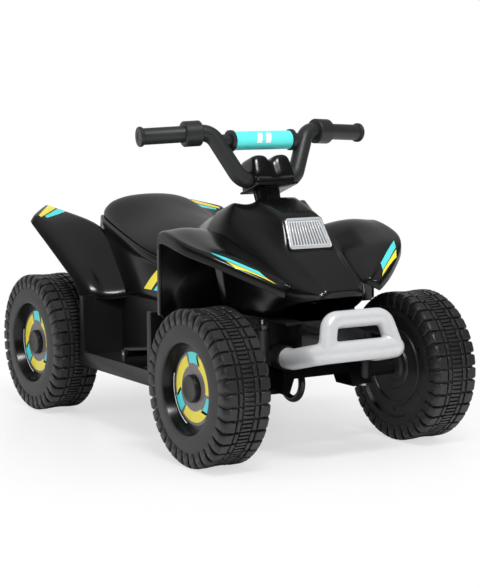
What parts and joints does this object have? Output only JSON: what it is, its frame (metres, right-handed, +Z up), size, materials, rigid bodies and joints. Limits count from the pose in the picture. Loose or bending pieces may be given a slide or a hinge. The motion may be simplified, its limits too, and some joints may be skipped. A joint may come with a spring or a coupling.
{
  "type": "kids quad bike",
  "caption": "Toddler's battery ride-on quad bike with ribbed plastic wheels, hood, fenders, saddle seat, handlebar steering, foot pedal drive and front bumper.",
  "frame": {"origin": "on the ground, at the bottom centre of the bounding box", "axes": "+Y towards the rear, -Y towards the front, +X to the rider's left, +Z up"},
  "size_m": [0.388, 0.679, 0.4298],
  "materials": {
    "gloss_black_shell": "gloss",
    "satin_black_chassis": "satin",
    "satin_black_seat": "satin",
    "silver_bezel": "gloss",
    "clear_lens": "clear",
    "silver_bumper": "satin",
    "bright_steel": "satin",
    "natural_nylon": "matte",
    "motor_can": "satin",
    "battery_case": "matte",
    "matte_grey_bar": "matte",
    "black_rod": "satin",
    "turquoise_pad": "satin",
    "matte_grey_grip": "matte",
    "charcoal_wheel": "matte",
    "grey_cap": "satin",
    "white_gear": "satin"
  },
  "bodies": {
    "chassis": {"lower_chassis": "satin_black_chassis", "upper_body": "gloss_black_shell", "hood": "gloss_black_shell", "tank_cover": "gloss_black_shell", "front_fender_left": "gloss_black_shell", "front_fender_right": "gloss_black_shell", "rear_fender_left": "gloss_black_shell", "rear_fender_right": "gloss_black_shell", "seat": "satin_black_seat", "headlight_bezel": "silver_bezel", "headlight_lens": "clear_lens", "front_bumper": "silver_bumper", "front_axle_beam": "satin_black_chassis", "kingpin_bolts": "bright_steel", "kingpin_nuts": "bright_steel", "steering_bushes": "natural_nylon", "rear_axle": "bright_steel", "rear_axle_bushes": "natural_nylon", "rear_axle_nuts": "bright_steel", "gearbox_case_inner": "satin_black_chassis", "gearbox_case_outer": "satin_black_chassis", "motor": "motor_can", "battery": "battery_case", "battery_strap": "satin_black_chassis", "charge_socket": "satin_black_chassis", "switch_housing": "satin_black_chassis", "pedal_pin": "bright_steel", "pedal_spring": "bright_steel"},
    "steering": {"steering_rod": "black_rod", "clamp_base": "satin_black_chassis", "clamp_cap": "satin_black_chassis", "clamp_bolts": "bright_steel", "handlebar": "matte_grey_bar", "crossbar_pad": "turquoise_pad", "grip_left": "matte_grey_grip", "grip_right": "matte_grey_grip"},
    "steering_link": {"steering_link": "satin_black_chassis"},
    "knuckle_left": {"knuckle_left": "satin_black_chassis", "stub_axle_left": "bright_steel", "front_axle_nut_left": "bright_steel"},
    "knuckle_right": {"knuckle_right": "satin_black_chassis", "stub_axle_right": "bright_steel", "front_axle_nut_right": "bright_steel"},
    "front_left_wheel": {"front_left_wheel_outer": "charcoal_wheel", "front_left_wheel_inner": "charcoal_wheel", "front_left_hub_cap": "grey_cap"},
    "front_right_wheel": {"front_right_wheel_outer": "charcoal_wheel", "front_right_wheel_inner": "charcoal_wheel", "front_right_hub_cap": "grey_cap"},
    "rear_left_wheel": {"rear_left_wheel_outer": "charcoal_wheel", "rear_left_wheel_inner": "charcoal_wheel", "rear_left_hub_cap": "grey_cap", "drive_gear": "white_gear"},
    "rear_right_wheel": {"rear_right_wheel_outer": "charcoal_wheel", "rear_right_wheel_inner": "charcoal_wheel", "rear_right_hub_cap": "grey_cap"},
    "reduction_gear": {"reduction_gear": "white_gear"},
    "motor_rotor": {"motor_pinion": "bright_steel"},
    "accelerator_pedal": {"accelerator_pedal": "satin_black_chassis"},
    "switch_rocker": {"switch_rocker": "turquoise_pad"}
  },
  "joints": [
    {"name": "handlebar_turn", "type": "hinge", "parent": "chassis", "child": "steering", "pos_m": [0, -0.1115, 0.3226], "axis": [0, 0.3305, 0.9438], "range_deg": [-28, 28]},
    {"name": "link_slide", "type": "slide", "parent": "chassis", "child": "steering_link", "axis": [-1, 0, 0], "range_m": [-0.0235, 0.0235]},
    {"name": "knuckle_left_turn", "type": "hinge", "parent": "chassis", "child": "knuckle_left", "pos_m": [0.08, -0.2205, 0.1], "axis": [0, 0, 1], "range_deg": [-16.5, 16.5]},
    {"name": "knuckle_right_turn", "type": "hinge", "parent": "chassis", "child": "knuckle_right", "pos_m": [-0.08, -0.2205, 0.1], "axis": [0, 0, 1], "range_deg": [-16.5, 16.5]},
    {"name": "front_left_spin", "type": "hinge", "parent": "knuckle_left", "child": "front_left_wheel", "pos_m": [0.16, -0.2205, 0.1], "axis": [1, 0, 0], "continuous": true},
    {"name": "front_right_spin", "type": "hinge", "parent": "knuckle_right", "child": "front_right_wheel", "pos_m": [-0.16, -0.2205, 0.1], "axis": [1, 0, 0], "continuous": true},
    {"name": "rear_left_spin", "type": "hinge", "parent": "chassis", "child": "rear_left_wheel", "pos_m": [0.16, 0.2395, 0.1], "axis": [1, 0, 0], "continuous": true},
    {"name": "rear_right_spin", "type": "hinge", "parent": "chassis", "child": "rear_right_wheel", "pos_m": [-0.16, 0.2395, 0.1], "axis": [1, 0, 0], "continuous": true},
    {"name": "reduction_spin", "type": "hinge", "parent": "chassis", "child": "reduction_gear", "pos_m": [0.09, 0.19951, 0.12064], "axis": [1, 0, 0], "continuous": true},
    {"name": "motor_spin", "type": "hinge", "parent": "chassis", "child": "motor_rotor", "pos_m": [0.07, 0.17501, 0.12562], "axis": [1, 0, 0], "continuous": true},
    {"name": "pedal_press", "type": "hinge", "parent": "chassis", "child": "accelerator_pedal", "pos_m": [-0.131, 0.0195, 0.109], "axis": [1, 0, 0], "range_deg": [0, 7], "stiffness_Nm_per_rad": 1.2, "springref_deg": -6.88, "deforming": ["pedal_spring"]},
    {"name": "direction_rock", "type": "hinge", "parent": "chassis", "child": "switch_rocker", "pos_m": [0, -0.0365, 0.302], "axis": [1, 0, 0], "range_deg": [-8, 8]}
  ],
  "couplings": [
    {"joint": "link_slide", "follows": "handlebar_turn", "m_per_rad": 0.0458},
    {"joint": "knuckle_left_turn", "follows": "handlebar_turn", "ratio": 0.578},
    {"joint": "knuckle_right_turn", "follows": "handlebar_turn", "ratio": 0.578},
    {"joint": "reduction_spin", "follows": "rear_left_spin", "ratio": -4},
    {"joint": "motor_spin", "follows": "rear_left_spin", "ratio": 16}
  ]
}
